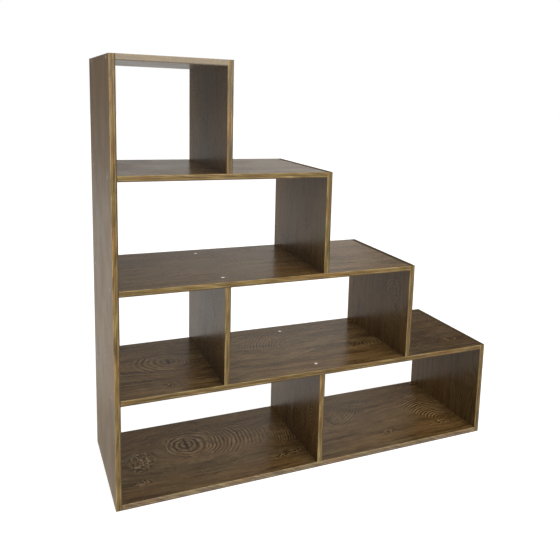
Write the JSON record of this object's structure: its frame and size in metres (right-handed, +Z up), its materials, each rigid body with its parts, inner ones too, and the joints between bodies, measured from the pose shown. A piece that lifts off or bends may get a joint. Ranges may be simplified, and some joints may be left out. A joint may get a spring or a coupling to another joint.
{
  "type": "staircase bookshelf",
  "caption": "Free-standing open-backed bookshelf whose compartments step down like a staircase from a tall side panel to a low one, in dark walnut laminate with oak edge bands.",
  "frame": {"origin": "on the floor, at the centre of the footprint", "axes": "+X towards the low end of the stairs, +Y towards the back, +Z up; the edge bands of the front face -Y"},
  "size_m": [1.2, 0.4, 1.2],
  "materials": {
    "walnut_laminate": "satin dark walnut laminate with printed grain, knots and growth rings, on chipboard",
    "oak_edge_band": "satin golden oak edge band with fine straight grain",
    "zinc_plated_steel": "bright zinc plating"
  },
  "bodies": {
    "root": {"left_side_panel": "walnut_laminate", "top_board": "walnut_laminate", "top_riser": "walnut_laminate", "upper_shelf": "walnut_laminate", "upper_riser": "walnut_laminate", "middle_shelf": "walnut_laminate", "lower_riser": "walnut_laminate", "lower_shelf": "walnut_laminate", "right_side_panel": "walnut_laminate", "bottom_board": "walnut_laminate", "middle_row_divider": "walnut_laminate", "bottom_row_divider": "walnut_laminate", "left_side_panel_front_band": "oak_edge_band", "top_board_front_band": "oak_edge_band", "top_riser_front_band": "oak_edge_band", "upper_shelf_front_band": "oak_edge_band", "upper_riser_front_band": "oak_edge_band", "middle_shelf_front_band": "oak_edge_band", "lower_riser_front_band": "oak_edge_band", "lower_shelf_front_band": "oak_edge_band", "right_side_panel_front_band": "oak_edge_band", "bottom_board_front_band": "oak_edge_band", "middle_row_divider_front_band": "oak_edge_band", "bottom_row_divider_front_band": "oak_edge_band", "screw_left_side_panel_to_top_board_front": "zinc_plated_steel", "screw_left_side_panel_to_top_board_back": "zinc_plated_steel", "screw_left_side_panel_to_upper_shelf_front": "zinc_plated_steel", "screw_left_side_panel_to_upper_shelf_back": "zinc_plated_steel", "screw_left_side_panel_to_middle_shelf_front": "zinc_plated_steel", "screw_left_side_panel_to_middle_shelf_back": "zinc_plated_steel", "screw_left_side_panel_to_lower_shelf_front": "zinc_plated_steel", "screw_left_side_panel_to_lower_shelf_back": "zinc_plated_steel", "screw_left_side_panel_to_bottom_board_front": "zinc_plated_steel", "screw_left_side_panel_to_bottom_board_back": "zinc_plated_steel", "screw_top_riser_to_top_board_front": "zinc_plated_steel", "screw_top_riser_to_top_board_back": "zinc_plated_steel", "screw_upper_riser_to_upper_shelf_front": "zinc_plated_steel", "screw_upper_riser_to_upper_shelf_back": "zinc_plated_steel", "screw_lower_riser_to_middle_shelf_front": "zinc_plated_steel", "screw_lower_riser_to_middle_shelf_back": "zinc_plated_steel", "screw_right_side_panel_to_lower_shelf_front": "zinc_plated_steel", "screw_right_side_panel_to_lower_shelf_back": "zinc_plated_steel", "screw_right_side_panel_to_bottom_board_front": "zinc_plated_steel", "screw_right_side_panel_to_bottom_board_back": "zinc_plated_steel", "screw_upper_shelf_to_top_riser_front": "zinc_plated_steel", "screw_upper_shelf_to_top_riser_back": "zinc_plated_steel", "screw_middle_shelf_to_upper_riser_front": "zinc_plated_steel", "screw_middle_shelf_to_upper_riser_back": "zinc_plated_steel", "screw_lower_shelf_to_lower_riser_front": "zinc_plated_steel", "screw_lower_shelf_to_lower_riser_back": "zinc_plated_steel", "screw_lower_shelf_to_middle_row_divider_front": "zinc_plated_steel", "screw_lower_shelf_to_middle_row_divider_back": "zinc_plated_steel", "screw_middle_shelf_to_middle_row_divider_front": "zinc_plated_steel", "screw_middle_shelf_to_middle_row_divider_back": "zinc_plated_steel", "screw_bottom_board_to_bottom_row_divider_front": "zinc_plated_steel", "screw_bottom_board_to_bottom_row_divider_back": "zinc_plated_steel", "screw_lower_shelf_to_bottom_row_divider_front": "zinc_plated_steel", "screw_lower_shelf_to_bottom_row_divider_back": "zinc_plated_steel"}
  },
  "joints": []
}
